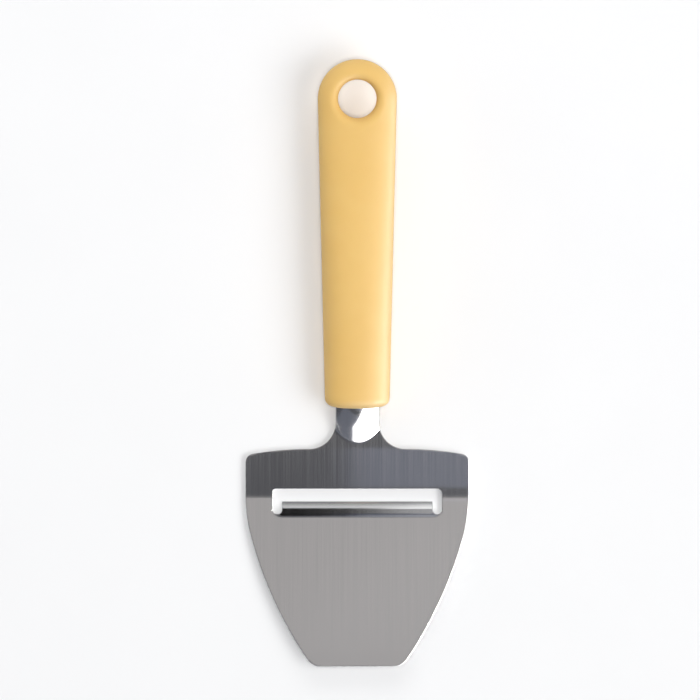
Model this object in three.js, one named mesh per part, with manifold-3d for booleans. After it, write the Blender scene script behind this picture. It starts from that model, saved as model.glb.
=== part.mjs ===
// A cheese plane: one stamped steel blade with a cutting slot, whose tang is clamped between the two
// halves of a rigid core, with a coloured grip moulded over the core.
//
// Sizes are millimetres. The tool frame has x across, y along the tool towards the hang eye and z up,
// with y = 0 on the blade's shoulder line and z = 0 on the flat underside of the blade. The handle frame
// starts at the middle of the grip's front end, runs along the grip's axis and is tilted up from the blade.

import * as THREE from 'three';
import { mergeVertices } from 'three/addons/utils/BufferGeometryUtils.js';
import Module from 'manifold-3d';

const { degToRad, lerp, clamp, smoothstep } = THREE.MathUtils;

const wasm = await Module();
wasm.setup();

// Blade plate
const SHEET = 1; // sheet thickness
const BLADE_WIDTH = 88.4;
const BLADE_LENGTH = 86.1; // shoulder line to tip edge
const WIDEST_SETBACK = 18; // shoulder line to the line where the sides begin to curve in
const HIP_RADIUS = 64; // first curve of each side
const HIP_TURN = degToRad(15);
const SIDE_RADIUS = 160; // long curve of each side, from the hip to the tip
const TIP_CORNER_RADIUS = 7;
const SHOULDER_RADIUS = 100; // slow curve of each shoulder
const SHOULDER_CORNER_RADIUS = 2.2;
const TIP_RISE = degToRad(3); // the plate is folded up a little towards its tip, on a line through the slot

// Slot and cutting lip
const SLOT_SETBACK = 15.9; // shoulder line to the slot's rear edge
const SLOT_LENGTH = 67;
const SLOT_GAP = 4.85; // slot's rear edge to the cutting edge, seen from above
const SLOT_CORNER_RADIUS = 1.6;
const LEG_WIDTH = 3.7; // relief cuts at the lip's two ends
const LEG_DEPTH = 5; // relief cuts run this far past the cutting edge
const LIP_FOLD = 5.45; // cutting edge to the fold line
const LIP_FOLD_BLEND = 0.4; // rounding of the fold
const LIP_DROP = 1.5; // cutting edge below the underside of the blade, which sets the slice's thickness
const GRIND_WIDTH = 2.9; // ground facet on top of the lip
const EDGE_THICKNESS = 0.3; // blunted cutting edge

// Neck
const NECK_LENGTH = 16.1; // shoulder line to the grip's front end
const NECK_STEP = 4.1; // the grip's front end stands out this far on each side of the neck
const NECK_FILLET_RADIUS = 10.5;
const NECK_FOOT = 2.5; // shoulder line to the point where the crest rises out of the plate
const NECK_FOOT_BLEND = 0.8; // rounding at the foot
const NECK_BEND_LEAD = 1.6; // bend from the rise to the handle's axis, ahead of the grip
const NECK_BEND_BLEND = 4; // rounding of that bend
const ARCH_HEIGHT = 3.6; // crest of the half-round neck above its edges
const ARCH_FADE = 12; // the arch flattens into the tang over this length inside the handle

// Grip
const HANDLE_LENGTH = 137.8;
const HANDLE_TILT = degToRad(2.5);
const FRONT_WIDTH = 25.4;
const REAR_WIDTH = 31.2; // also the diameter of the round hang end
const FRONT_THICKNESS = 17;
const BELLY_THICKNESS = 20;
const BELLY_SETBACK = 34; // front end to the thickest place
const REAR_THICKNESS = 14;
const FRONT_DOME = 5; // length over which the front end rounds off
const FRONT_POWER = 3.3; // squareness of that rounding
const SECTION_POWER = 2.3; // squareness of the oval section, where 2 is an ellipse
const SKIN = 2.4; // grip wall over the core
const FRONT_WALL = 3; // grip wall ahead of the core
const EYE_DIAMETER = 15.2;
const EYE_RIM = 3.7; // radius of the rounded rim of the hang eye
const EYE_WALL = 4; // solid grip between the rim and the core

// Core and tang
const CORE_WALL = 1.8;
const CORE_END_DOME = 9; // length over which the rear end of the core rounds off
const RIB_THICKNESS = 1.8;
const RIB_PITCH = 17;
const TANG_RIM = 3.4; // core wall beside the tang at the front
const TANG_RUNOUT = 33; // tang end to core end
const TANG_CORNER_RADIUS = 3;
const PEG_DIAMETER = 4.4;
const PEG_INSET = 9; // tang end to the first peg
const PEG_PITCH = 34;
const BOSS_WALL = 1.8;

// Clearance between pieces
const FIT_GAP = 0.3;

// Facets
const SECTION_SIDES = 28;
const DOME_STEPS = 5;
const BODY_STEPS = 8;
const CURVE_SEGMENTS = 10;
const EYE_SEGMENTS = 32;
const PEG_SEGMENTS = 16;
const SHEET_STEP = 1.3; // spacing of the mesh where the sheet is curved
const FOLD_STEPS = 6;

// Places that follow from the sizes above, in the tool frame
const tipY = -BLADE_LENGTH;
const slotRearY = -SLOT_SETBACK;
const edgeY = slotRearY - SLOT_GAP;
const creaseY = slotRearY - SLOT_GAP / 2;
const grindY = edgeY - GRIND_WIDTH;
const foldY = edgeY - LIP_FOLD;
const legEndY = edgeY - LEG_DEPTH;
const mouthY = NECK_LENGTH;
const halfBlade = BLADE_WIDTH / 2;
const halfSlot = SLOT_LENGTH / 2;
const halfLip = halfSlot - LEG_WIDTH;
const halfNeck = FRONT_WIDTH / 2 - NECK_STEP;
const halfTang = FRONT_WIDTH / 2 - SKIN - FIT_GAP - TANG_RIM;

// Places in the handle frame
const eyeY = HANDLE_LENGTH - REAR_WIDTH / 2;
const coreEnd = eyeY - EYE_DIAMETER / 2 - EYE_RIM - EYE_WALL;
const tangEnd = coreEnd - TANG_RUNOUT;
const pegPlaces = [tangEnd - PEG_INSET, tangEnd - PEG_INSET - PEG_PITCH];
const pegRadius = PEG_DIAMETER / 2;
const pegHoleRadius = pegRadius + FIT_GAP;

// Lines between two ends, evenly spaced, both ends included
const steps = (from, to, count) => Array.from({ length: count + 1 }, (_, i) => lerp(from, to, i / count));

// The larger of two heights, with the corner between them rounded over a band of the given height
const roundedMax = (a, b, band) => Math.max(a, b) + Math.max(band - Math.abs(a - b), 0) ** 2 / (4 * band);
const roundedMin = (a, b, band) => -roundedMax(-a, -b, band);

// Solids from geometries, and back
const solidOf = (geometry) => {
  geometry.deleteAttribute('normal');
  geometry.deleteAttribute('uv');
  const merged = mergeVertices(geometry);
  return new wasm.Manifold(
    new wasm.Mesh({
      numProp: 3,
      vertProperties: new Float32Array(merged.attributes.position.array),
      triVerts: new Uint32Array(merged.index.array),
    }),
  );
};

const geometryOf = (solid) => {
  const mesh = solid.getMesh();
  const geometry = new THREE.BufferGeometry();
  geometry.setAttribute('position', new THREE.BufferAttribute(new Float32Array(mesh.vertProperties), 3));
  geometry.setIndex(new THREE.BufferAttribute(new Uint32Array(mesh.triVerts), 1));
  geometry.computeVertexNormals();
  return geometry;
};

// Closed surface through a row of loops that follow each other along +y, with a pole at each end
const loftGeometry = (loops, firstPole, lastPole) => {
  const sides = loops[0].length;
  const points = [...loops.flat(), firstPole, lastPole];
  const firstIndex = points.length - 2;
  const lastIndex = points.length - 1;
  const lastLoop = (loops.length - 1) * sides;
  const index = [];
  for (let j = 0; j < sides; j++) {
    const next = (j + 1) % sides;
    index.push(firstIndex, j, next, lastIndex, lastLoop + next, lastLoop + j);
    for (let k = 0; k < lastLoop; k += sides) {
      index.push(k + j, k + sides + next, k + next);
      index.push(k + j, k + sides + j, k + sides + next);
    }
  }
  return new THREE.BufferGeometry().setFromPoints(points).setIndex(index);
};

const extruded = (shape, low, high) => {
  const options = { depth: high - low, bevelEnabled: false, curveSegments: CURVE_SEGMENTS };
  return new THREE.ExtrudeGeometry(shape, options).translate(0, 0, low);
};

const upright = (radius, y, low, high) =>
  new THREE.CylinderGeometry(radius, radius, high - low, PEG_SEGMENTS)
    .rotateX(Math.PI / 2)
    .translate(0, y, (low + high) / 2);

// Grip's half width and half thickness along the handle, before its ends are rounded
const gripHalfWidth = (y) => lerp(FRONT_WIDTH / 2, REAR_WIDTH / 2, clamp(y / eyeY, 0, 1));
const gripHalfThickness = (y) => {
  if (y < BELLY_SETBACK) {
    return BELLY_THICKNESS / 2 - ((BELLY_THICKNESS - FRONT_THICKNESS) / 2) * (1 - y / BELLY_SETBACK) ** 2;
  }
  return lerp(BELLY_THICKNESS / 2, REAR_THICKNESS / 2, smoothstep(y, BELLY_SETBACK, eyeY));
};

// Grip's oval body between two places, or the same body set in from the grip's surface
const ovalBody = (inset, start, end, rearDome) => {
  const turns = steps(0, Math.PI / 2, DOME_STEPS);
  const frontEnds = turns.map((turn) => start + FRONT_DOME * (1 - Math.cos(turn)));
  const rearEnds = turns.map((turn) => end - rearDome * (1 - Math.cos(turn))).reverse();
  const middle = steps(frontEnds.at(-1), rearEnds[0], BODY_STEPS);
  const places = [...frontEnds.slice(1), ...middle.slice(1, -1), ...rearEnds.slice(0, -1)];
  const rounding = (run, length, power) => (1 - (1 - Math.min(run / length, 1)) ** power) ** (1 / power);
  const loops = places.map((y) => {
    const share = rounding(y - start, FRONT_DOME, FRONT_POWER) * rounding(end - y, rearDome, 2);
    const width = (gripHalfWidth(y) - inset) * share;
    const thickness = (gripHalfThickness(y) - inset) * share;
    return Array.from({ length: SECTION_SIDES }, (_, j) => {
      const turn = (2 * Math.PI * j) / SECTION_SIDES;
      const bulge = (value) => Math.sign(value) * Math.abs(value) ** (2 / SECTION_POWER);
      return new THREE.Vector3(width * bulge(Math.cos(turn)), y, thickness * bulge(Math.sin(turn)));
    });
  });
  return solidOf(loftGeometry(loops, new THREE.Vector3(0, start, 0), new THREE.Vector3(0, end, 0)));
};

// Height of the handle frame's origin: the grip's belly and the cutting edge lie on one table
const bellyDepth = Math.max(
  ...steps(0, eyeY, Math.ceil(eyeY)).map(
    (y) => gripHalfThickness(y) * Math.cos(HANDLE_TILT) - y * Math.sin(HANDLE_TILT),
  ),
);
const mouthZ = bellyDepth - LIP_DROP;
const axisHeight = (y) => mouthZ + (y - mouthY) * Math.tan(HANDLE_TILT);

const handle = new THREE.Group();
handle.position.set(0, mouthY, mouthZ);
handle.rotation.x = HANDLE_TILT;
handle.updateMatrix();
const toHandle = handle.matrix.clone().invert();
const toTool = (y) => new THREE.Vector3(0, y, 0).applyMatrix4(handle.matrix).y;

// Plate: flat behind the slot, and folded up towards the tip
const plateHeight = (y) => SHEET / 2 + Math.max(creaseY - y, 0) * Math.tan(TIP_RISE);

// Neck: the crest rises straight from the foot and bends over to the handle's axis, and the section is
// a parabolic arch, which flattens into the tang inside the handle
const crestOnAxis = (y) => axisHeight(y) + ARCH_HEIGHT / 2;
const bendY = mouthY - NECK_BEND_LEAD;
const neckSlope = (crestOnAxis(bendY) - SHEET / 2) / (bendY - NECK_FOOT);
const neckHeight = (x, y) => {
  const crest = roundedMin(SHEET / 2 + neckSlope * (y - NECK_FOOT), crestOnAxis(y), NECK_BEND_BLEND);
  const arch = 1 - smoothstep(y, mouthY, mouthY + ARCH_FADE);
  return crest - ARCH_HEIGHT / 2 + arch * ARCH_HEIGHT * (1 / 2 - (x / halfNeck) ** 2);
};

// Lip: folded down from the plate in front of the slot, and ground to an edge on top
const lipSlope = (LIP_DROP + plateHeight(edgeY) - SHEET / 2) / LIP_FOLD;
const lipShare = (x, y) =>
  clamp((halfSlot - Math.abs(x)) / LEG_WIDTH, 0, 1) * clamp((slotRearY - y) / SLOT_GAP, 0, 1);
const lipDepth = (x, y) =>
  lipShare(x, y) * roundedMax(0, lipSlope * (Math.min(y, edgeY) - foldY), LIP_FOLD_BLEND);
const grindDepth = (x, y) =>
  lipShare(x, y) * (SHEET - EDGE_THICKNESS) * clamp((y - grindY) / GRIND_WIDTH, 0, 1);

const sheetHeight = (x, y) =>
  roundedMax(plateHeight(y), neckHeight(x, y), NECK_FOOT_BLEND) - lipDepth(x, y);

// Pressed sheet before it is trimmed, thickened by a clearance over and under it
const pressedSheet = (clearOver, clearUnder) => {
  const foldReach = LIP_FOLD_BLEND / lipSlope;
  const archWidth = halfNeck + NECK_STEP;
  const archColumns = steps(-archWidth, archWidth, 2 * Math.ceil(archWidth / SHEET_STEP));
  const plateColumns = [halfLip, halfSlot, halfBlade + SHEET].flatMap((x) => [-x, x]);
  const columns = [...new Set([...archColumns, ...plateColumns])].sort((a, b) => a - b);
  const neckStart = NECK_FOOT - NECK_FOOT_BLEND / neckSlope;
  const neckEnd = mouthY + ARCH_FADE;
  const rows = [
    ...[tipY - SHEET, grindY, edgeY, creaseY, slotRearY, toTool(tangEnd) + SHEET],
    ...steps(foldY - foldReach, foldY + foldReach, FOLD_STEPS),
    ...steps(neckStart, neckEnd, Math.ceil((neckEnd - neckStart) / SHEET_STEP)),
  ].sort((a, b) => a - b);
  const loops = [...new Set(rows)].map((y) => {
    const under = columns.map((x) => new THREE.Vector3(x, y, sheetHeight(x, y) - SHEET / 2 - clearUnder));
    const over = columns.map(
      (x) => new THREE.Vector3(x, y, sheetHeight(x, y) + SHEET / 2 - grindDepth(x, y) + clearOver),
    );
    return [...under, ...over.reverse()];
  });
  const middleOf = (loop) =>
    new THREE.Vector3(0, loop[0].y, loop.reduce((sum, point) => sum + point.z, 0) / loop.length);
  return loftGeometry(loops, middleOf(loops[0]), middleOf(loops.at(-1)));
};

// Outline of the neck and the tang seen from above, grown by a clearance
const strapShape = (clearance, startY) => {
  const neck = halfNeck + clearance;
  const tang = halfTang + clearance;
  const stepY = toTool(FRONT_WALL) + clearance;
  const endY = toTool(tangEnd) + clearance;
  const radius = TANG_CORNER_RADIUS;
  const shape = new THREE.Shape();
  shape.moveTo(-neck, startY);
  shape.lineTo(neck, startY);
  shape.lineTo(neck, stepY);
  shape.lineTo(tang, stepY);
  shape.absarc(tang - radius, endY - radius, radius, 0, Math.PI / 2);
  shape.absarc(radius - tang, endY - radius, radius, Math.PI / 2, Math.PI);
  shape.lineTo(-tang, stepY);
  shape.lineTo(-neck, stepY);
  return shape;
};

// Outline of the plate seen from above: tip edge, tip corner, side curve, hip, shoulder corner, shoulder
// and neck fillet on the right, and the same mirrored on the left
const plateShape = () => {
  const hip = new THREE.Vector2(halfBlade - HIP_RADIUS, -WIDEST_SETBACK);
  const side = new THREE.Vector2(Math.cos(HIP_TURN), -Math.sin(HIP_TURN));
  side.multiplyScalar(HIP_RADIUS - SIDE_RADIUS).add(hip);
  const tipCornerY = tipY + TIP_CORNER_RADIUS;
  const tipReach = SIDE_RADIUS - TIP_CORNER_RADIUS;
  const tipCornerX = side.x + Math.sqrt(tipReach ** 2 - (tipCornerY - side.y) ** 2);
  const tipTurn = Math.atan2(tipCornerY - side.y, tipCornerX - side.x);
  const filletX = halfNeck + NECK_FILLET_RADIUS;
  const cornerX = halfBlade - SHOULDER_CORNER_RADIUS;
  const cornerReach = SHOULDER_RADIUS - SHOULDER_CORNER_RADIUS;
  const cornerY = Math.sqrt(cornerReach ** 2 - (cornerX - filletX) ** 2) - SHOULDER_RADIUS;
  const cornerTurn = Math.atan2(cornerY + SHOULDER_RADIUS, cornerX - filletX);
  const quarter = Math.PI / 2;
  const shape = new THREE.Shape();
  shape.absarc(tipCornerX, tipCornerY, TIP_CORNER_RADIUS, -quarter, tipTurn);
  shape.absarc(side.x, side.y, SIDE_RADIUS, tipTurn, -HIP_TURN);
  shape.absarc(hip.x, hip.y, HIP_RADIUS, -HIP_TURN, 0);
  shape.absarc(cornerX, cornerY, SHOULDER_CORNER_RADIUS, 0, cornerTurn);
  shape.absarc(filletX, -SHOULDER_RADIUS, SHOULDER_RADIUS, cornerTurn, quarter);
  shape.absarc(filletX, NECK_FILLET_RADIUS, NECK_FILLET_RADIUS, -quarter, -Math.PI, true);
  shape.absarc(-filletX, NECK_FILLET_RADIUS, NECK_FILLET_RADIUS, 0, -quarter, true);
  shape.absarc(-filletX, -SHOULDER_RADIUS, SHOULDER_RADIUS, quarter, Math.PI - cornerTurn);
  shape.absarc(-cornerX, cornerY, SHOULDER_CORNER_RADIUS, Math.PI - cornerTurn, Math.PI);
  shape.absarc(-hip.x, hip.y, HIP_RADIUS, Math.PI, Math.PI + HIP_TURN);
  shape.absarc(-side.x, side.y, SIDE_RADIUS, Math.PI + HIP_TURN, Math.PI - tipTurn);
  shape.absarc(-tipCornerX, tipCornerY, TIP_CORNER_RADIUS, Math.PI - tipTurn, 3 * quarter);
  return shape;
};

// Slot: a bar across the blade with a relief leg at each end, so that it frames the lip on three sides
const slotShape = () => {
  const radius = SLOT_CORNER_RADIUS;
  const right = halfSlot - radius;
  const inner = halfLip + radius;
  const top = slotRearY - radius;
  const bottom = legEndY + radius;
  const quarter = Math.PI / 2;
  const shape = new THREE.Shape();
  shape.absarc(inner, bottom, radius, Math.PI, 3 * quarter);
  shape.absarc(right, bottom, radius, -quarter, 0);
  shape.absarc(right, top, radius, 0, quarter);
  shape.absarc(-right, top, radius, quarter, Math.PI);
  shape.absarc(-right, bottom, radius, Math.PI, 3 * quarter);
  shape.absarc(-inner, bottom, radius, -quarter, 0);
  shape.lineTo(-halfLip, edgeY);
  shape.lineTo(halfLip, edgeY);
  return shape;
};

// Heights that clear the whole sheet, for cutting straight down through it
const underSheet = -BLADE_WIDTH;
const overSheet = BLADE_WIDTH;

const makeBlade = () => {
  const plate = solidOf(extruded(plateShape(), underSheet, overSheet));
  const strap = solidOf(extruded(strapShape(0, 0), underSheet, overSheet));
  const slot = solidOf(extruded(slotShape(), underSheet, overSheet));
  const blank = plate.add(strap).subtract(slot);
  const holes = pegPlaces.map((y) => solidOf(upright(pegHoleRadius, toTool(y), underSheet, overSheet)));
  return holes.reduce((sheet, hole) => sheet.subtract(hole), solidOf(pressedSheet(0, 0)).intersect(blank));
};

// Room that the grip and the core leave for the neck and the tang, in the handle frame
const tangRoom = (clearOver, clearUnder) => {
  const strap = solidOf(extruded(strapShape(FIT_GAP, mouthY - FRONT_DOME), underSheet, overSheet));
  const room = geometryOf(solidOf(pressedSheet(clearOver, clearUnder)).intersect(strap));
  return solidOf(room.applyMatrix4(toHandle));
};

// Cutter for the hang eye: a bore with a rounded rim on both faces, which ends level with the grip's face
// ahead of the eye
const eyeCutter = () => {
  const bore = EYE_DIAMETER / 2;
  const straight = gripHalfThickness(eyeY - bore - EYE_RIM) - EYE_RIM;
  const rim = steps(0, Math.PI / 2, DOME_STEPS).map(
    (turn) => new THREE.Vector2(bore + EYE_RIM * (1 - Math.cos(turn)), straight + EYE_RIM * Math.sin(turn)),
  );
  const above = [bore + EYE_RIM, 0].map((x) => new THREE.Vector2(x, BELLY_THICKNESS));
  const upper = [...rim, ...above];
  const lower = upper.map((point) => new THREE.Vector2(point.x, -point.y)).reverse();
  const profile = [...lower, ...upper];
  return solidOf(new THREE.LatheGeometry(profile, EYE_SEGMENTS).rotateX(Math.PI / 2).translate(0, eyeY, 0));
};

const makeGrip = () => {
  const body = ovalBody(0, 0, HANDLE_LENGTH, REAR_WIDTH / 2);
  const coreRoom = ovalBody(SKIN, FRONT_WALL, coreEnd + FIT_GAP, CORE_END_DOME);
  return body.subtract(eyeCutter()).subtract(coreRoom).subtract(tangRoom(FIT_GAP, FIT_GAP));
};

// Core half on one side of the handle's middle plane: a shell stiffened by cross ribs and by a boss at
// each peg, which stays on its own side of the tang
const makeCoreHalf = (side) => {
  const inset = SKIN + FIT_GAP;
  const start = FRONT_WALL + FIT_GAP;
  const body = ovalBody(inset, start, coreEnd, CORE_END_DOME);
  const hollow = ovalBody(inset + CORE_WALL, start + CORE_WALL, coreEnd - CORE_WALL, CORE_END_DOME);
  const slab = (length, y, height, z) =>
    solidOf(new THREE.BoxGeometry(REAR_WIDTH, length, height).translate(0, y, z));
  const ribCount = Math.floor((coreEnd - start) / RIB_PITCH);
  const ribPlaces = Array.from({ length: ribCount }, (_, i) => start + RIB_PITCH * (i + 1));
  const ribs = ribPlaces.map((y) => slab(RIB_THICKNESS, y, 2 * BELLY_THICKNESS, 0));
  const bossRadius = pegHoleRadius + BOSS_WALL;
  const bosses = pegPlaces.map((y) => solidOf(upright(bossRadius, y, -BELLY_THICKNESS, BELLY_THICKNESS)));
  const kept = [...ribs, ...bosses].reduce((room, stiffener) => room.subtract(stiffener), hollow);
  const middle = (side * (BELLY_THICKNESS + FIT_GAP)) / 2;
  const halfSpace = slab(HANDLE_LENGTH, HANDLE_LENGTH / 2, BELLY_THICKNESS, middle);
  const room = side > 0 ? tangRoom(FIT_GAP, BELLY_THICKNESS) : tangRoom(BELLY_THICKNESS, FIT_GAP);
  return body.intersect(halfSpace).subtract(kept).subtract(room);
};

// Roof of the core above a peg, which the peg stops short of
const roofHeight = (y) => gripHalfThickness(y) - SKIN - FIT_GAP - CORE_WALL;

const makeLowerHalf = () => {
  const pegs = pegPlaces.map((y) => solidOf(upright(pegRadius, y, -roofHeight(y), roofHeight(y) - FIT_GAP)));
  return pegs.reduce((half, peg) => half.add(peg), makeCoreHalf(-1));
};

const makeUpperHalf = () => {
  const sockets = pegPlaces.map((y) => solidOf(upright(pegHoleRadius, y, 0, roofHeight(y))));
  return sockets.reduce((half, socket) => half.subtract(socket), makeCoreHalf(1));
};

const part = (name, solid, material) => {
  const mesh = new THREE.Mesh(geometryOf(solid), material);
  mesh.name = name;
  return mesh;
};

const brushedSteel = new THREE.MeshStandardMaterial({ color: 0x9d9b9c, roughness: 0.35, metalness: 1 });
const yellowGrip = new THREE.MeshStandardMaterial({ color: 0xf2c979, roughness: 0.55, metalness: 0 });
const lowerCorePlastic = new THREE.MeshStandardMaterial({ color: 0xcfccc4, roughness: 0.6, metalness: 0 });
const upperCorePlastic = new THREE.MeshStandardMaterial({ color: 0xd8d5cd, roughness: 0.6, metalness: 0 });

handle.add(
  part('handle_grip', makeGrip(), yellowGrip),
  part('core_lower_half', makeLowerHalf(), lowerCorePlastic),
  part('core_upper_half', makeUpperHalf(), upperCorePlastic),
);

const cheesePlane = new THREE.Group();
cheesePlane.add(part('blade', makeBlade(), brushedSteel), handle);

// The part lies on a table: its origin is under the middle of its length and width
const box = new THREE.Box3().setFromObject(cheesePlane, true);
cheesePlane.position.set(0, -(box.min.y + box.max.y) / 2, -box.min.z);

export default cheesePlane;
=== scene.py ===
"""Looks of a cheese plane: a brushed steel blade with a cutting slot, held in a moulded yellow grip.

Sizes are millimetres. The tool frame has x across, y along the tool towards the hang eye and z up, with
y = 0 on the blade's shoulder line and z = 0 on the flat underside of the blade. The handle frame starts at
the middle of the grip's front end, runs along the grip's axis and is tilted up from the blade. Meshes are
written in metres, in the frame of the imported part.
"""

from __future__ import annotations

import logging
import math
from dataclasses import dataclass, field
from enum import Enum
from typing import Any

import bpy
import numpy as np
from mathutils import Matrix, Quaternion, Vector


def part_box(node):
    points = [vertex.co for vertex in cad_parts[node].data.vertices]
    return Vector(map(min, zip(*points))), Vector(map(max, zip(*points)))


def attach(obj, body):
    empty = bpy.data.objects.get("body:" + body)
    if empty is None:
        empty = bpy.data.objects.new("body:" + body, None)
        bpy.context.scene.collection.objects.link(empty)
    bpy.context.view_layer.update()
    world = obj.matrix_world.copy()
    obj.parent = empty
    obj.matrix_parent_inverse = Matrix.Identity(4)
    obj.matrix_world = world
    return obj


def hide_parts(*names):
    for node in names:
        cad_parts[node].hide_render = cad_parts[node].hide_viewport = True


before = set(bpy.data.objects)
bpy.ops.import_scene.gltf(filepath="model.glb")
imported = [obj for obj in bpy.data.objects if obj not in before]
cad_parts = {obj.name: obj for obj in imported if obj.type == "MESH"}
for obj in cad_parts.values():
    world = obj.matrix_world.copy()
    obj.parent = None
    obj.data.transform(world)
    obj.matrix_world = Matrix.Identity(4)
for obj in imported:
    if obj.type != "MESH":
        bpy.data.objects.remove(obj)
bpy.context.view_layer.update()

LOG = logging.getLogger("cheese_plane")
MM = 0.001
QUARTER = math.pi / 2
TINY = 1e-6
WELD_DIGITS = 4
ROW_DIGITS = 3
Array = np.ndarray
Triple = tuple[float, float, float]


class Slot(Enum):
    """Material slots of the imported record."""

    STEEL = "steel"
    GRIP = "grip"


class Node(Enum):
    """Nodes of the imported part."""

    BLADE = "blade"
    GRIP = "handle_grip"
    LOWER_CORE = "core_lower_half"
    UPPER_CORE = "core_upper_half"


# Shapes on arrays


def smoothstep(value: Array, low: float, high: float) -> Array:
    """Ramp t * t * (3 - 2 t), where t runs from 0 at low to 1 at high."""
    t = np.clip((value - low) / (high - low), 0.0, 1.0)
    return t * t * (3.0 - 2.0 * t)


def rounded_max(a: Array, b: Array, band: float) -> Array:
    """Larger of two heights, where the corner between them is rounded over a band of that height."""
    return np.maximum(a, b) + np.maximum(band - np.abs(a - b), 0.0) ** 2 / (4.0 * band)


def rounding(run: Array, length: float, power: float) -> Array:
    """Share of a section where an end rounds off: (1 - (1 - run / length) ** power) ** (1 / power)."""
    return (1.0 - (1.0 - np.clip(run / length, 0.0, 1.0)) ** power) ** (1.0 / power)


def arc(centre: tuple[float, float], radius: float, start: float, stop: float, steps: int) -> Array:
    """Points of an arc: centre + radius (cos turn, sin turn), the turn going evenly from start to stop.

    Args:
        centre: Middle of the circle.
        radius: Radius of the circle.
        start: First turn, in radians.
        stop: Last turn, in radians.
        steps: Number of chords.

    Returns:
        Rows of x and y.
    """
    turn = np.linspace(start, stop, steps + 1)
    return np.column_stack((centre[0] + radius * np.cos(turn), centre[1] + radius * np.sin(turn)))


def grid_faces(index: Array) -> Array:
    """Quads of a grid of point numbers, which turn left when columns go right and rows go up.

    Args:
        index: Point numbers, rows by columns.

    Returns:
        Cells as an array of rows by columns by 4 point numbers.
    """
    return np.stack((index[:-1, :-1], index[:-1, 1:], index[1:, 1:], index[1:, :-1]), axis=-1)


def open_edges(keep: Array) -> tuple[Array, Array]:
    """Edges of a grid where a kept cell meets a removed one or the grid's end.

    Args:
        keep: True for each kept cell.

    Returns:
        Start and end point numbers of the edges, each with the kept cell on its left.
    """
    rows, columns = keep.shape
    index = np.arange((rows + 1) * (columns + 1)).reshape(rows + 1, columns + 1)
    around = np.pad(keep, 1)
    front = keep & ~around[:-2, 1:-1]
    right = keep & ~around[1:-1, 2:]
    back = keep & ~around[2:, 1:-1]
    left = keep & ~around[1:-1, :-2]
    corners = (index[:-1, :-1], index[:-1, 1:], index[1:, 1:], index[1:, :-1])
    sides = (front, right, back, left)
    starts = np.concatenate([corners[i][side] for i, side in enumerate(sides)])
    ends = np.concatenate([corners[(i + 1) % 4][side] for i, side in enumerate(sides)])
    return starts, ends


def way_out(places: Array, starts: Array, ends: Array) -> Array:
    """Mitred step out of the material at each point of its edges.

    With s the sum of the unit normals of the two edges at a point, the step is 2 s / |s| ** 2, so that it
    moves both edges out by one unit.

    Args:
        places: Rows of x and y.
        starts: Start point numbers of the edges.
        ends: End point numbers of the edges.

    Returns:
        One step for each place, which is zero away from the edges.
    """
    run = places[ends] - places[starts]
    normal = np.column_stack((run[:, 1], -run[:, 0])) / np.linalg.norm(run, axis=1, keepdims=True)
    total = np.zeros_like(places)
    np.add.at(total, starts, normal)
    np.add.at(total, ends, normal)
    size = (total**2).sum(axis=1, keepdims=True)
    return 2.0 * total / np.maximum(size, TINY)


def welded(points: Array, faces: Array) -> tuple[Array, Array]:
    """Joins equal points and drops points that no face uses.

    Args:
        points: Rows of x, y and z in millimetres.
        faces: Rows of 4 point numbers.

    Returns:
        The points that are left, and the faces on them.
    """
    used, faces = np.unique(faces, return_inverse=True)
    kept = points[used]
    places = kept.round(WELD_DIGITS)
    _, first, same = np.unique(places, axis=0, return_index=True, return_inverse=True)
    return kept[first], same.reshape(-1)[faces.reshape(-1, 4)]


def add_piece(name: str, points: Array, faces: list[list[int]]) -> bpy.types.Object:
    """Makes a smooth mesh object at the origin, with its place in its mesh.

    Args:
        name: Name of the object and its mesh.
        points: Rows of x, y and z in millimetres, in the frame of the part.
        faces: Point numbers of each face.

    Returns:
        The new object.
    """
    mesh = bpy.data.meshes.new(name)
    mesh.from_pydata((points * MM).tolist(), [], faces)
    mesh.polygons.foreach_set("use_smooth", np.ones(len(faces), bool))
    mesh.update()
    piece = bpy.data.objects.new(name, mesh)
    bpy.context.scene.collection.objects.link(piece)
    return piece


# Finishes


def linear(colour: str) -> tuple[float, float, float, float]:
    """Turns an sRGB colour to linear light.

    Args:
        colour: Hex colour such as #f2c979.

    Returns:
        Red, green, blue and alpha.
    """
    parts = np.array([int(colour[i : i + 2], 16) for i in (1, 3, 5)]) / 255.0
    light = np.where(parts <= 0.04045, parts / 12.92, ((parts + 0.055) / 1.055) ** 2.4)
    return (*light.tolist(), 1.0)


def add_node(
    tree: bpy.types.NodeTree, kind: str, inputs: dict[str | int, Any] | None = None, **settings: Any
) -> bpy.types.Node:
    """Adds a node with its settings, and fills its sockets.

    Args:
        tree: Tree that gets the node.
        kind: Type name of the node.
        inputs: Socket name or number, and the value it holds or the output that feeds it.
        **settings: Properties of the node.

    Returns:
        The new node.
    """
    node = tree.nodes.new(kind)
    for name, value in settings.items():
        setattr(node, name, value)
    feed(tree, node, inputs or {})
    return node


def feed(tree: bpy.types.NodeTree, node: bpy.types.Node, inputs: dict[str | int, Any]) -> None:
    """Sets or links sockets of a node.

    Args:
        tree: Tree that holds the node.
        node: Node whose sockets are filled.
        inputs: Socket name or number, and the value it holds or the output that feeds it.
    """
    for key, value in inputs.items():
        if isinstance(value, bpy.types.NodeSocket):
            tree.links.new(value, node.inputs[key])
        else:
            node.inputs[key].default_value = value


def start_material(name: str) -> tuple[bpy.types.Material, bpy.types.NodeTree, bpy.types.Node]:
    """Makes a material.

    Args:
        name: Name of the material.

    Returns:
        The material, its node tree and its shader node.
    """
    material = bpy.data.materials.new(name)
    material.use_nodes = True
    tree = material.node_tree
    return material, tree, tree.nodes["Principled BSDF"]


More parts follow.
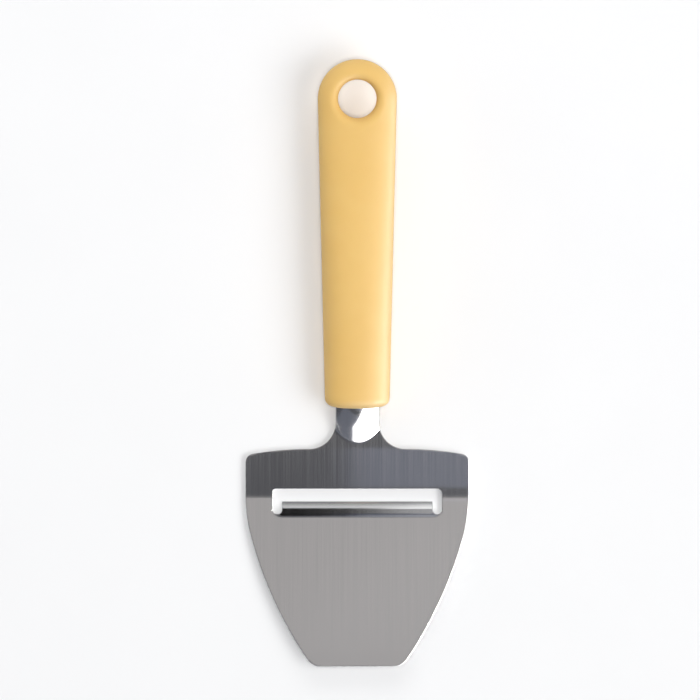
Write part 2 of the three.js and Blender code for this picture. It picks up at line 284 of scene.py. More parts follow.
def pattern(tree: bpy.types.NodeTree, cell: Triple, detail: float) -> bpy.types.NodeSocket:
    """Noise on object coordinates whose cells measure the given millimetres along x, y and z.

    Args:
        tree: Tree that gets the nodes.
        cell: Size of the noise along x, y and z.
        detail: Octaves of finer noise.

    Returns:
        The noise, from 0 to 1 about one half.
    """
    place = add_node(tree, "ShaderNodeTexCoord")
    scale = tuple(1.0 / (MM * size) for size in cell)
    mapped = add_node(tree, "ShaderNodeMapping", {"Vector": place.outputs["Object"], "Scale": scale})
    inputs = {"Vector": mapped.outputs[0], "Scale": 1.0, "Detail": detail}
    return add_node(tree, "ShaderNodeTexNoise", inputs).outputs[0]


# Noise stays close to one half. These inputs stretch its middle, or most of it, to a full range.
MIDDLE = {"From Min": 0.35, "From Max": 0.65}
MOST = {"From Min": 0.3, "From Max": 0.7}


@dataclass(frozen=True)
class BrushedSteel:
    """Stainless steel sheet, brushed along the tool: fine streaks that spread reflections across them."""

    name: str = "stainless_steel_brushed"
    light: str = "#c9c8c9"
    dark: str = "#c2c2c3"
    smoothest: float = 0.125
    roughest: float = 0.18
    pressed_roughness: float = 0.1
    anisotropy: float = 1.0
    # Brush marks are about 0.05 mm wide. They are drawn coarser, because they would not show.
    streak: Triple = (0.5, 60.0, 60.0)
    band: Triple = (4.0, 90.0, 90.0)
    band_share: float = 0.3
    streak_depth: float = 0.02
    bump: float = 0.03

    def material(self) -> bpy.types.Material:
        """Makes the steel, which reads the blade's map for its grain and its polish attribute for the neck.

        Returns:
            The material.
        """
        material, tree, shader = start_material(self.name)
        streaks = pattern(tree, self.streak, detail=2.0)
        bands = pattern(tree, self.band, detail=1.0)
        both = add_node(tree, "ShaderNodeMix", {0: self.band_share, 2: streaks, 3: bands}).outputs[0]
        share = add_node(tree, "ShaderNodeMapRange", {"Value": both, **MIDDLE})
        colour = {0: share.outputs[0], 6: linear(self.dark), 7: linear(self.light)}
        tint = add_node(tree, "ShaderNodeMix", colour, data_type="RGBA")
        span = {"To Min": self.smoothest, "To Max": self.roughest}
        brushed = add_node(tree, "ShaderNodeMapRange", {"Value": both, **MIDDLE, **span})
        polish = add_node(tree, "ShaderNodeAttribute", attribute_name=Blade.POLISH)
        mixed = {0: polish.outputs["Fac"], 2: brushed.outputs[0], 3: self.pressed_roughness}
        rough = add_node(tree, "ShaderNodeMix", mixed)
        across = add_node(tree, "ShaderNodeTangent", direction_type="UV_MAP", uv_map=Blade.GRAIN)
        marks = {"Height": streaks, "Strength": self.bump, "Distance": self.streak_depth * MM}
        bump = add_node(tree, "ShaderNodeBump", marks)
        inputs = {
            "Base Color": tint.outputs[2],
            "Metallic": 1.0,
            "Roughness": rough.outputs[0],
            "Anisotropic": self.anisotropy,
            "Tangent": across.outputs[0],
            "Normal": bump.outputs[0],
        }
        feed(tree, shader, inputs)
        return material


@dataclass(frozen=True)
class GroundSteel:
    """Stainless steel off the grinding wheel: a brighter face with marks square to the cutting edge."""

    name: str = "stainless_steel_ground_edge"
    light: str = "#d4d4d4"
    dark: str = "#cdcdcd"
    smoothest: float = 0.19
    roughest: float = 0.22
    # Grinding marks are about 0.03 mm wide. They are drawn coarser, because they would not show.
    mark: Triple = (0.35, 8.0, 8.0)

    def material(self) -> bpy.types.Material:
        """Makes the ground steel.

        Returns:
            The material.
        """
        material, tree, shader = start_material(self.name)
        marks = pattern(tree, self.mark, detail=2.0)
        share = add_node(tree, "ShaderNodeMapRange", {"Value": marks, **MOST})
        colour = {0: share.outputs[0], 6: linear(self.dark), 7: linear(self.light)}
        tint = add_node(tree, "ShaderNodeMix", colour, data_type="RGBA")
        span = {"To Min": self.smoothest, "To Max": self.roughest}
        rough = add_node(tree, "ShaderNodeMapRange", {"Value": marks, **MOST, **span})
        inputs = {"Base Color": tint.outputs[2], "Metallic": 1.0, "Roughness": rough.outputs[0]}
        feed(tree, shader, inputs)
        return material


@dataclass(frozen=True)
class MouldedPlastic:
    """Polypropylene moulded in a spark-eroded tool: a soft, even, slightly grained satin."""

    name: str
    light: str
    dark: str
    smoothest: float
    roughest: float
    ior: float = 1.49
    subsurface: float = 0.0
    scatter: Triple = (1.0, 0.5, 0.2)
    scatter_depth: float = 1.5
    # The tool's grain is about 0.1 mm. It is drawn coarser, because it would not show.
    grain: float = 0.45
    grain_depth: float = 0.04
    cloud: float = 14.0
    bump: float = 0.12

    def material(self) -> bpy.types.Material:
        """Makes the plastic: colour clouds, and grain in its roughness and its bump.

        Returns:
            The material.
        """
        material, tree, shader = start_material(self.name)
        grain = pattern(tree, (self.grain,) * 3, detail=1.0)
        cloud = pattern(tree, (self.cloud,) * 3, detail=2.0)
        share = add_node(tree, "ShaderNodeMapRange", {"Value": cloud, **MIDDLE})
        colour = {0: share.outputs[0], 6: linear(self.dark), 7: linear(self.light)}
        tint = add_node(tree, "ShaderNodeMix", colour, data_type="RGBA")
        span = {"To Min": self.smoothest, "To Max": self.roughest}
        rough = add_node(tree, "ShaderNodeMapRange", {"Value": grain, **MOST, **span})
        pits = {"Height": grain, "Strength": self.bump, "Distance": self.grain_depth * MM}
        bump = add_node(tree, "ShaderNodeBump", pits)
        inputs = {
            "Base Color": tint.outputs[2],
            "Roughness": rough.outputs[0],
            "IOR": self.ior,
            "Subsurface Weight": self.subsurface,
            "Subsurface Radius": self.scatter,
            "Subsurface Scale": self.scatter_depth * MM,
            "Normal": bump.outputs[0],
        }
        feed(tree, shader, inputs)
        return material


@dataclass(frozen=True)
class PaintedBoard:
    """Board painted matt white, which the part lies on: an even pale ground without gloss."""

    name: str = "painted_board_white"
    light: str = "#f4f4f4"
    dark: str = "#f1f1f1"
    roughness: float = 0.8
    cloud: float = 60.0

    def material(self) -> bpy.types.Material:
        """Makes the paint.

        Returns:
            The material.
        """
        material, tree, shader = start_material(self.name)
        share = pattern(tree, (self.cloud,) * 3, detail=2.0)
        colour = {0: share, 6: linear(self.dark), 7: linear(self.light)}
        tint = add_node(tree, "ShaderNodeMix", colour, data_type="RGBA")
        inputs = {"Base Color": tint.outputs[2], "Roughness": self.roughness, "Specular IOR Level": 0.0}
        feed(tree, shader, inputs)
        return material


YELLOW_GRIP = MouldedPlastic(
    "polypropylene_yellow_satin", "#e6be72", "#e4bb6e", smoothest=0.58, roughest=0.64, subsurface=0.08
)
NATURAL_CORE = MouldedPlastic(
    "polypropylene_natural", "#dbd8d0", "#cfccc4", smoothest=0.45, roughest=0.6, bump=0.05
)


# Pieces


@dataclass(frozen=True)
class HandleForm:
    """Outer form of the handle, in the handle frame."""

    length: float = 137.8
    tilt: float = math.radians(2.5)
    front_width: float = 25.4
    rear_width: float = 31.2
    front_thickness: float = 17.0
    belly_thickness: float = 20.0
    belly_setback: float = 34.0
    rear_thickness: float = 14.0
    front_dome: float = 5.0
    front_power: float = 3.3
    section_power: float = 2.3

    SAMPLES = 200

    @property
    def eye_y(self) -> float:
        """Place of the hang eye, which is the middle of the round hang end."""
        return self.length - self.rear_width / 2

    def half_width(self, y: Array) -> Array:
        """Half width before the ends are rounded: a straight taper from the front end to the eye."""
        share = np.clip(y / self.eye_y, 0.0, 1.0)
        return (self.front_width + (self.rear_width - self.front_width) * share) / 2

    def half_thickness(self, y: Array) -> Array:
        """Half thickness before the ends are rounded: a parabola up to the belly, then a smooth step down.

        Args:
            y: Places along the handle.

        Returns:
            Half thicknesses.
        """
        rise = self.belly_thickness - self.front_thickness
        front = self.belly_thickness - rise * (1.0 - y / self.belly_setback) ** 2
        fall = (self.belly_thickness - self.rear_thickness) * smoothstep(y, self.belly_setback, self.eye_y)
        return np.where(y < self.belly_setback, front, self.belly_thickness - fall) / 2

    def belly_depth(self) -> float:
        """Lowest point of the tilted handle under the middle of its front end."""
        y = np.linspace(0.0, self.eye_y, self.SAMPLES)
        return float(np.max(self.half_thickness(y) * math.cos(self.tilt) - y * math.sin(self.tilt)))


@dataclass
class Blade:
    """Stamped and pressed steel sheet: plate, slot, cutting lip, neck and tang."""

    handle: HandleForm
    sheet: float = 1.0
    width: float = 88.4
    length: float = 86.1
    widest_setback: float = 18.0
    hip_radius: float = 64.0
    hip_turn: float = math.radians(15.0)
    side_radius: float = 160.0
    tip_corner_radius: float = 7.0
    shoulder_radius: float = 130.0
    shoulder_corner_radius: float = 3.4
    tip_rise: float = math.radians(3.0)
    crease_share: float = 0.7
    slot_setback: float = 15.9
    slot_length: float = 67.0
    slot_gap: float = 4.85
    slot_corner_radius: float = 1.6
    leg_width: float = 3.7
    leg_depth: float = 5.0
    lip_fold: float = 5.45
    lip_fold_blend: float = 0.4
    lip_drop: float = 1.5
    grind_width: float = 2.9
    edge_thickness: float = 0.3
    grind_bow: float = 0.33
    neck_length: float = 16.1
    neck_step: float = 4.1
    neck_fillet_radius: float = 10.5
    neck_foot: float = 2.5
    neck_foot_blend: float = 0.3
    neck_bend_lead: float = 1.6
    neck_bend_blend: float = 4.0
    arch_height: float = 3.6
    arch_fade: float = 12.0
    half_tang: float = 6.6
    tang_step: float = 3.0
    tang_taper: float = 2.0
    tang_end: float = 73.9
    tang_corner_radius: float = 3.0
    peg_holes: tuple[float, float] = (64.9, 30.9)
    peg_hole_radius: float = 2.5
    edge_round: float = 0.25
    finish: BrushedSteel = field(default_factory=BrushedSteel)
    edge_finish: GroundSteel = field(default_factory=GroundSteel)

    POLISH = "polish"
    GRAIN = "grain"
    WALL_CLIMB = 0.7
    # Share of a narrow row that the columns of the slot's width take
    INNER_SHARE = 0.8
    # Rows fan out between this setback and the neck. The shoulders take this share of it on the middle line.
    FAN_SETBACK = 9.0
    WAIST_SHARE = 0.6
    # Columns on each stretch across, and on half a peg hole
    LIP_COLUMNS = 20
    CORNER_COLUMNS = 4
    LEG_COLUMNS = 2
    SIDE_COLUMNS = 8
    HOLE_COLUMNS = 13
    # Rows on each stretch from the tip back
    PLATE_ROWS = 26
    FOLD_ROWS = 7
    LEG_ROWS = 9
    FACET_ROWS = 7
    GAP_ROWS = 3
    CORNER_ROWS = 5
    BAND_ROWS = 5
    RISE_ROWS = 4
    NECK_ROWS = 14
    TANG_ROWS = 26
    HOLE_ROWS = 13
    # Chords of the outline's arcs
    TIP_STEPS = 10
    CORNER_STEPS = 8
    SHOULDER_STEPS = 18
    FILLET_STEPS = 48
    # A grid point this close to a line of the slot lies on it.
    NEAR = 2e-3
    # The first small turn keeps the flats' shading flat up to their edges.
    ROUND_TURNS = tuple(math.radians(turn) for turn in (4.0, 30.0, 60.0, 90.0))
    # Most of the sheet that one rounding takes where the lip is ground thin
    ROUND_SHARE = 0.45

    def __post_init__(self) -> None:
        """Works out the places that follow from the sizes, in the tool frame."""
        self.half = self.width / 2
        self.half_slot = self.slot_length / 2
        self.half_lip = self.half_slot - self.leg_width
        self.half_neck = self.handle.front_width / 2 - self.neck_step
        self.slot_rear = -self.slot_setback
        self.edge = self.slot_rear - self.slot_gap
        self.crease = self.slot_rear - self.crease_share * self.slot_gap
        self.grind = self.edge - self.grind_width
        self.fold = self.edge - self.lip_fold
        self.leg_end = self.edge - self.leg_depth
        self.mouth_y = self.neck_length
        self.mouth_z = self.handle.belly_depth() - self.lip_drop
        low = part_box(Node.BLADE.value)[0]
        self.origin = np.array((0.0, low.y / MM + self.length, low.z / MM + self.lip_drop))
        drop = self.lip_drop + self.plate_height(np.array(self.edge)) - self.sheet / 2
        self.lip_slope = float(drop) / self.lip_fold

    def along(self, y: float) -> float:
        """Tool y of a point on the handle's axis."""
        return self.mouth_y + y * math.cos(self.handle.tilt)

    def plate_height(self, y: Array) -> Array:
        """Middle of the plate: level behind the slot, and folded up towards the tip."""
        return self.sheet / 2 + np.maximum(self.crease - y, 0.0) * math.tan(self.tip_rise)

    def neck_height(self, x: Array, y: Array) -> Array:
        """Middle of the neck: a straight rise bent over to the handle's axis, with a parabolic arch across.

        Args:
            x: Places across.
            y: Places along.

        Returns:
            Heights of the middle of the sheet.
        """
        slope = math.tan(self.handle.tilt)
        bend = self.mouth_y - self.neck_bend_lead
        bend_height = self.mouth_z - self.neck_bend_lead * slope + self.arch_height / 2
        rise = (bend_height - self.sheet / 2) / (bend - self.neck_foot)
        line = self.sheet / 2 + rise * (y - self.neck_foot)
        axis = self.mouth_z + (y - self.mouth_y) * slope + self.arch_height / 2
        crest = -rounded_max(-line, -axis, self.neck_bend_blend)
        arch = 1.0 - smoothstep(y, self.mouth_y, self.mouth_y + self.arch_fade)
        return crest - self.arch_height / 2 + arch * self.arch_height * (0.5 - (x / self.half_neck) ** 2)

    def lip_share(self, x: Array, y: Array) -> Array:
        """Share of the lip's fold: 1 on the lip, and 0 beside and behind the slot."""
        beside = np.clip((self.half_slot - np.abs(x)) / self.leg_width, 0.0, 1.0)
        return beside * np.clip((self.slot_rear - y) / self.slot_gap, 0.0, 1.0)

    def heights(self, x: Array, y: Array) -> tuple[Array, Array]:
        """Top and underside of the sheet: plate and neck joined, with the lip folded down and ground on top.

        With g the share of the way from the grind line to the edge, grinding takes g - bow g (1 - g) of what
        it takes off at the edge.

        Args:
            x: Places across.
            y: Places along.

        Returns:
            Heights of the top and of the underside.
        """
        share = self.lip_share(x, y)
        fall = self.lip_slope * (np.minimum(y, self.edge) - self.fold)
        lip = share * rounded_max(np.zeros_like(y), fall, self.lip_fold_blend)
        plate = self.plate_height(y)
        middle = rounded_max(plate, self.neck_height(x, y), self.neck_foot_blend) - lip
        ground = np.clip((y - self.grind) / self.grind_width, 0.0, 1.0)
        bowed = ground - self.grind_bow * ground * (1.0 - ground)
        top = middle + self.sheet / 2 - share * bowed * (self.sheet - self.edge_thickness)
        return top, middle - self.sheet / 2

    def columns(self) -> Array:
        """Columns of the grid at full width: the lip, the relief legs with their corners, and the sides.

        Returns:
            Places across.
        """
        lip = self.half_lip - self.edge_round
        slot = self.half_slot + self.edge_round
        corner = self.slot_corner_radius + self.edge_round
        stretches = (
            np.linspace(0.0, lip, self.LIP_COLUMNS, endpoint=False),
            np.linspace(lip, lip + corner, self.CORNER_COLUMNS, endpoint=False),
            np.linspace(lip + corner, slot - corner, self.LEG_COLUMNS, endpoint=False),
            np.linspace(slot - corner, slot, self.CORNER_COLUMNS, endpoint=False),
            np.linspace(slot, self.half - self.edge_round, self.SIDE_COLUMNS),
        )
        right = np.concatenate(stretches)
        return np.concatenate((-right[:0:-1], right))

    def hole_reach(self) -> float:
        """Half size of the block of cells that a peg hole takes out, which ends on a column.

        Returns:
            Distance from the middle of the hole.
        """
        inner = self.INNER_SHARE * (self.half_tang - self.edge_round)
        slot = self.half_slot + self.edge_round
        lip = self.half_lip - self.edge_round
        return lip * self.HOLE_COLUMNS / self.LIP_COLUMNS * inner / slot

    def side_rows(self, start: float) -> Array:
        """Rows across the plate, with rows on the fold, the slot's corners, the ground facet and the crease.

        Args:
            start: Place where the tip's corner ends.

        Returns:
            Places along.
        """
        inset = self.edge_round
        corner = self.slot_corner_radius + inset
        reach = self.lip_fold_blend / self.lip_slope
        rows = (
            np.linspace(start, self.fold - reach, self.PLATE_ROWS),
            np.linspace(self.fold - reach, self.leg_end - inset, self.FOLD_ROWS),
            np.linspace(self.leg_end - inset, self.leg_end - inset + corner, self.LEG_ROWS),
            np.linspace(self.grind, self.edge - inset, self.FACET_ROWS),
            np.linspace(self.edge - inset, self.crease, self.GAP_ROWS),
            np.linspace(self.slot_rear + inset - corner, self.slot_rear + inset, self.CORNER_ROWS),
            np.linspace(self.slot_rear + inset, -self.FAN_SETBACK, self.BAND_ROWS),
        )
        return np.unique(np.concatenate(rows).round(ROW_DIGITS))

    def side_half(self, y: Array, middle: tuple[float, float]) -> Array:
        """Half width beside the rows: straight, then an arc at the hip, then a longer arc towards the tip.

        Args:
            y: Places along.
            middle: Middle of the longer arc.

        Returns:
            Half widths, set in by the rounding of the edges.
        """
        hip, long = self.hip_radius - self.edge_round, self.side_radius - self.edge_round
        below = np.minimum(y + self.widest_setback, 0.0)
        upper = self.half - self.hip_radius + np.sqrt(np.maximum(hip**2 - below**2, 0.0))
        lower = middle[0] + np.sqrt(long**2 - (y - middle[1]) ** 2)
        return np.where(below > -hip * math.sin(self.hip_turn), upper, lower)

    def strap_rows(self, start: float) -> Array:
        """Rows of the neck and the tang behind the fillet: a strap that narrows inside the handle.

        Args:
            start: Place where the fillet ends.

        Returns:
            Rows of half width and y.
        """
        inset = self.edge_round
        step = self.along(self.tang_step)
        reach = self.hole_reach()
        middles = [self.along(y) for y in self.peg_holes]
        holes = [np.linspace(y - reach, y + reach, self.HOLE_ROWS) for y in middles]
        end = self.along(self.tang_end) - self.tang_corner_radius
        rows = (np.linspace(start, step, self.NECK_ROWS), np.linspace(step, end, self.TANG_ROWS), *holes)
        y = np.unique(np.concatenate(rows).round(ROW_DIGITS))
        narrow = np.clip((y - step) / self.tang_taper + 1.0, 0.0, 1.0)
        return np.column_stack((self.half_neck + (self.half_tang - self.half_neck) * narrow - inset, y))

    def rows(self) -> Array:
        """Rows of the grid from the tip edge to the tang's end.

        The outline is a chain of arcs set in by the rounding of the edges. Each row ends on it, and crosses
        the middle line at a place of its own, so that rows fan out evenly at the shoulders.

        Returns:
            Half width, y on the outline and y on the middle line of each row.
        """
        inset = self.edge_round
        wider = self.side_radius - self.hip_radius
        side_x = self.half - self.hip_radius - wider * math.cos(self.hip_turn)
        side_y = wider * math.sin(self.hip_turn) - self.widest_setback
        tip_y = self.tip_corner_radius - self.length
        tip_reach = self.side_radius - self.tip_corner_radius
        tip_x = side_x + math.sqrt(tip_reach**2 - (tip_y - side_y) ** 2)
        tip_turn = math.atan2(tip_y - side_y, tip_x - side_x)
        fillet_x = self.half_neck + self.neck_fillet_radius
        corner_x = self.half - self.shoulder_corner_radius
        corner_reach = self.shoulder_radius - self.shoulder_corner_radius
        corner_y = math.sqrt(corner_reach**2 - (corner_x - fillet_x) ** 2) - self.shoulder_radius
        corner_turn = math.atan2(corner_y + self.shoulder_radius, corner_x - fillet_x)
        tip = arc((tip_x, tip_y), self.tip_corner_radius - inset, -QUARTER, tip_turn, self.TIP_STEPS)
        beside = self.side_rows(float(tip[-1, 1]))
        side = np.column_stack((self.side_half(beside, (side_x, side_y)), beside))
        upright = np.linspace(-self.FAN_SETBACK, corner_y, self.RISE_ROWS)
        rise = np.column_stack((np.full(self.RISE_ROWS, self.half - inset), upright))
        corner_round = self.shoulder_corner_radius - inset
        corner = arc((corner_x, corner_y), corner_round, 0.0, corner_turn, self.CORNER_STEPS)
        crown = (fillet_x, -self.shoulder_radius)
        shoulder = arc(crown, self.shoulder_radius - inset, corner_turn, QUARTER, self.SHOULDER_STEPS)
        hollow = (fillet_x, self.neck_fillet_radius)
        fillet = arc(hollow, self.neck_fillet_radius + inset, -QUARTER, -math.pi, self.FILLET_STEPS)
        strap = self.strap_rows(self.neck_fillet_radius)
        end = (self.half_tang - self.tang_corner_radius, self.along(self.tang_end) - self.tang_corner_radius)
        tang = arc(end, self.tang_corner_radius - inset, 0.0, QUARTER, self.CORNER_STEPS)
        flank = np.vstack((rise[1:], corner[1:], shoulder[1:]))
        waist = -self.FAN_SETBACK + self.WAIST_SHARE * (self.FAN_SETBACK - inset)
        outline = np.vstack((tip, side[1:], flank, fillet[1:], strap[1:], tang[1:]))
        middle = (
            np.linspace(tip[0, 1], tip[-1, 1], len(tip)),
            side[1:, 1],
            np.linspace(-self.FAN_SETBACK, waist, len(flank) + 1)[1:],
            np.linspace(waist, self.neck_fillet_radius, len(fillet))[1:],
            strap[1:, 1],
            np.linspace(tang[0, 1], tang[-1, 1], len(tang))[1:],
        )
        return np.column_stack((outline, np.concatenate(middle)))

    def plan(self) -> Array:
        """Grid seen from above.

        Columns keep their places where the slot is and shrink with the outline elsewhere. How far a row
        bends away from its middle goes with the square of the share of its half width.

        Returns:
            Rows by columns by x and y.
        """
        half, outer, middle = (column[:, None] for column in self.rows().T)
        base = self.columns()[None, :]
        slot = self.half_slot + self.edge_round
        inner = np.minimum(slot, self.INNER_SHARE * half)
        beside = (np.abs(base) - slot) / (self.half - self.edge_round - slot)
        far = np.sign(base) * (inner + beside * (half - inner))
        x = np.where(np.abs(base) <= slot, base * inner / slot, far)
        y = middle + (outer - middle) * (x / half) ** 2
        return np.stack((x, y), axis=-1)

    def kept_cells(self, plan: Array) -> Array:
        """Cells that the press leaves: all but the slot and the peg holes.

        Args:
            plan: Grid seen from above.

        Returns:
            True for each kept cell.
        """
        middle = (plan[:-1, :-1] + plan[:-1, 1:] + plan[1:, 1:] + plan[1:, :-1]) / 4
        x, y = np.abs(middle[..., 0]), middle[..., 1]
        inset = self.edge_round
        ahead = np.where(x < self.half_lip - inset, self.edge, self.leg_end) - inset
        slot = (x < self.half_slot + inset) & (y > ahead) & (y < self.slot_rear + inset)
        reach = self.hole_reach()
        holes = [(x < reach) & (np.abs(y - self.along(place)) < reach) for place in self.peg_holes]
        return ~np.logical_or.reduce((slot, *holes))

    def rounded_plan(self, plan: Array) -> Array:
        """Plan with round slot corners and peg holes.

        Within one radius of a slot corner a point's distance from the tangent point becomes a turn of up to
        an eighth round the corner's arc. Round a peg hole the block's square rings become circles, and fade
        out over the tang.

        Args:
            plan: Grid seen from above.

        Returns:
            The grid with those points moved.
        """
        inset = self.edge_round
        radius = self.slot_corner_radius + inset
        slot, lip = self.half_slot + inset, self.half_lip - inset
        rear, ahead = self.slot_rear + inset, self.leg_end - inset
        moved = plan.copy()
        for corner_x, corner_y, into_x, into_y in (
            (slot, rear, -1, -1),
            (slot, ahead, -1, 1),
            (lip, ahead, 1, 1),
            (-slot, rear, 1, -1),
            (-slot, ahead, 1, 1),
            (-lip, ahead, -1, 1),
        ):
            from_x = (plan[..., 0] - corner_x) * into_x
            from_y = (plan[..., 1] - corner_y) * into_y
            near = (np.minimum(from_x, from_y) > -self.NEAR) & (np.maximum(from_x, from_y) < radius)
            upright = near & (np.abs(from_x) < self.NEAR)
            level = near & (np.abs(from_y) < self.NEAR) & ~upright
            edges = ((upright, from_y, np.cos, np.sin), (level, from_x, np.sin, np.cos))
            for chosen, run, x_part, y_part in edges:
                turn = (1.0 - run[chosen] / radius) * math.pi / 4
                moved[chosen, 0] = corner_x + into_x * radius * (1.0 - x_part(turn))
                moved[chosen, 1] = corner_y + into_y * radius * (1.0 - y_part(turn))
        reach = self.hole_reach()
        fade = self.half_tang - 2 * inset
        for place in self.peg_holes:
            offset = moved - np.array((0.0, self.along(place)))
            ring = np.abs(offset).max(axis=-1, keepdims=True)
            away = np.maximum(np.linalg.norm(offset, axis=-1, keepdims=True), TINY)
            share = np.clip((ring - reach) / (fade - reach), 0.0, 1.0)
            moved += offset * (1.0 - share) * ((self.peg_hole_radius + inset) / away - 1.0)
        return moved

    def build(self) -> bpy.types.Object:
        """Builds the sheet: the grid's top and underside, and a rounded rim along every edge.

        The rim starts at the grid's edge and goes out by the rounding times sin turn and down by the
        rounding times 1 - cos turn, then across the thickness to the same rounding at the underside.

        Returns:
            The blade.
        """
        plan = self.plan()
        keep = self.kept_cells(plan)
        places = self.rounded_plan(plan).reshape(-1, 2)
        count = len(places)
        index = np.arange(count).reshape(plan.shape[:2])
        starts, ends = open_edges(keep)
        rim = np.unique(starts)
        rank = np.zeros(count, int)
        rank[rim] = np.arange(len(rim))
        step = way_out(places, starts, ends)[rim] * self.edge_round
        top, under = self.heights(*places.T)
        layers = [np.column_stack((places, top)), np.column_stack((places, under))]
        for turns, upper in ((self.ROUND_TURNS, True), (self.ROUND_TURNS[::-1], False)):
            for turn in turns:
                ring = places[rim] + step * math.sin(turn)
                over, below = self.heights(*ring.T)
                depth = np.minimum(self.edge_round, self.ROUND_SHARE * (over - below))
                drop = depth * (1.0 - math.cos(turn))
                layers.append(np.column_stack((ring, over - drop if upper else below + drop)))
        rings = 2 * count + np.arange(2 * len(self.ROUND_TURNS) * len(rim)).reshape(-1, len(rim))
        levels = np.vstack((rim, rings, count + rim))
        above, beneath = levels[:-1], levels[1:]
        first, last = rank[starts], rank[ends]
        corners = (above[:, last], above[:, first], beneath[:, first], beneath[:, last])
        bands = np.stack(corners, axis=-1)
        cells = grid_faces(index)[keep]
        faces = np.vstack((cells, count + cells[:, ::-1], bands.reshape(-1, 4)))
        points, faces = welded(np.vstack(layers), faces)
        piece = add_piece("cheese_blade", points + self.origin, faces.tolist())
        self.dress(piece, points, faces)
        return piece

    def dress(self, piece: bpy.types.Object, points: Array, faces: Array) -> None:
        """Gives the blade its grain map, its polish, its ground facet and its materials.

        The grain map runs across the brush marks, and climbs walls so that it is never flat there. The
        polish grows over the first millimetre that the neck rises above the plate.

        Args:
            piece: The blade.
            points: Its points in the tool frame.
            faces: Its faces.
        """
        mesh = piece.data
        x, y, z = points.T
        corner = np.empty(len(mesh.loops), np.int32)
        mesh.loops.foreach_get("vertex_index", corner)
        climb = self.WALL_CLIMB * z
        grain = np.column_stack((x + climb, y + climb))[corner] / self.width
        mesh.uv_layers.new(name=self.GRAIN).data.foreach_set("uv", grain.ravel())
        polish = np.clip(z - self.plate_height(y) - self.sheet / 2, 0.0, 1.0) * (y > 0)
        values = mesh.attributes.new(self.POLISH, "FLOAT", "POINT").data
        values.foreach_set("value", polish.astype(np.float32))
        face_x, face_y, face_z = points[faces].mean(axis=1).T
        top, under = self.heights(face_x, face_y)
        lip = (np.abs(face_x) < self.half_lip) & (face_y > self.grind) & (face_y < self.edge)
        upper = face_z > (top + under) / 2
        mesh.materials.append(self.finish.material())
        mesh.materials.append(self.edge_finish.material())
        mesh.polygons.foreach_set("material_index", (lip & upper).astype(np.int32))
        even = piece.modifiers.new("even_normals", "WEIGHTED_NORMAL")
        even.keep_sharp = True
        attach(piece, "root")
        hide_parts(Node.BLADE.value)


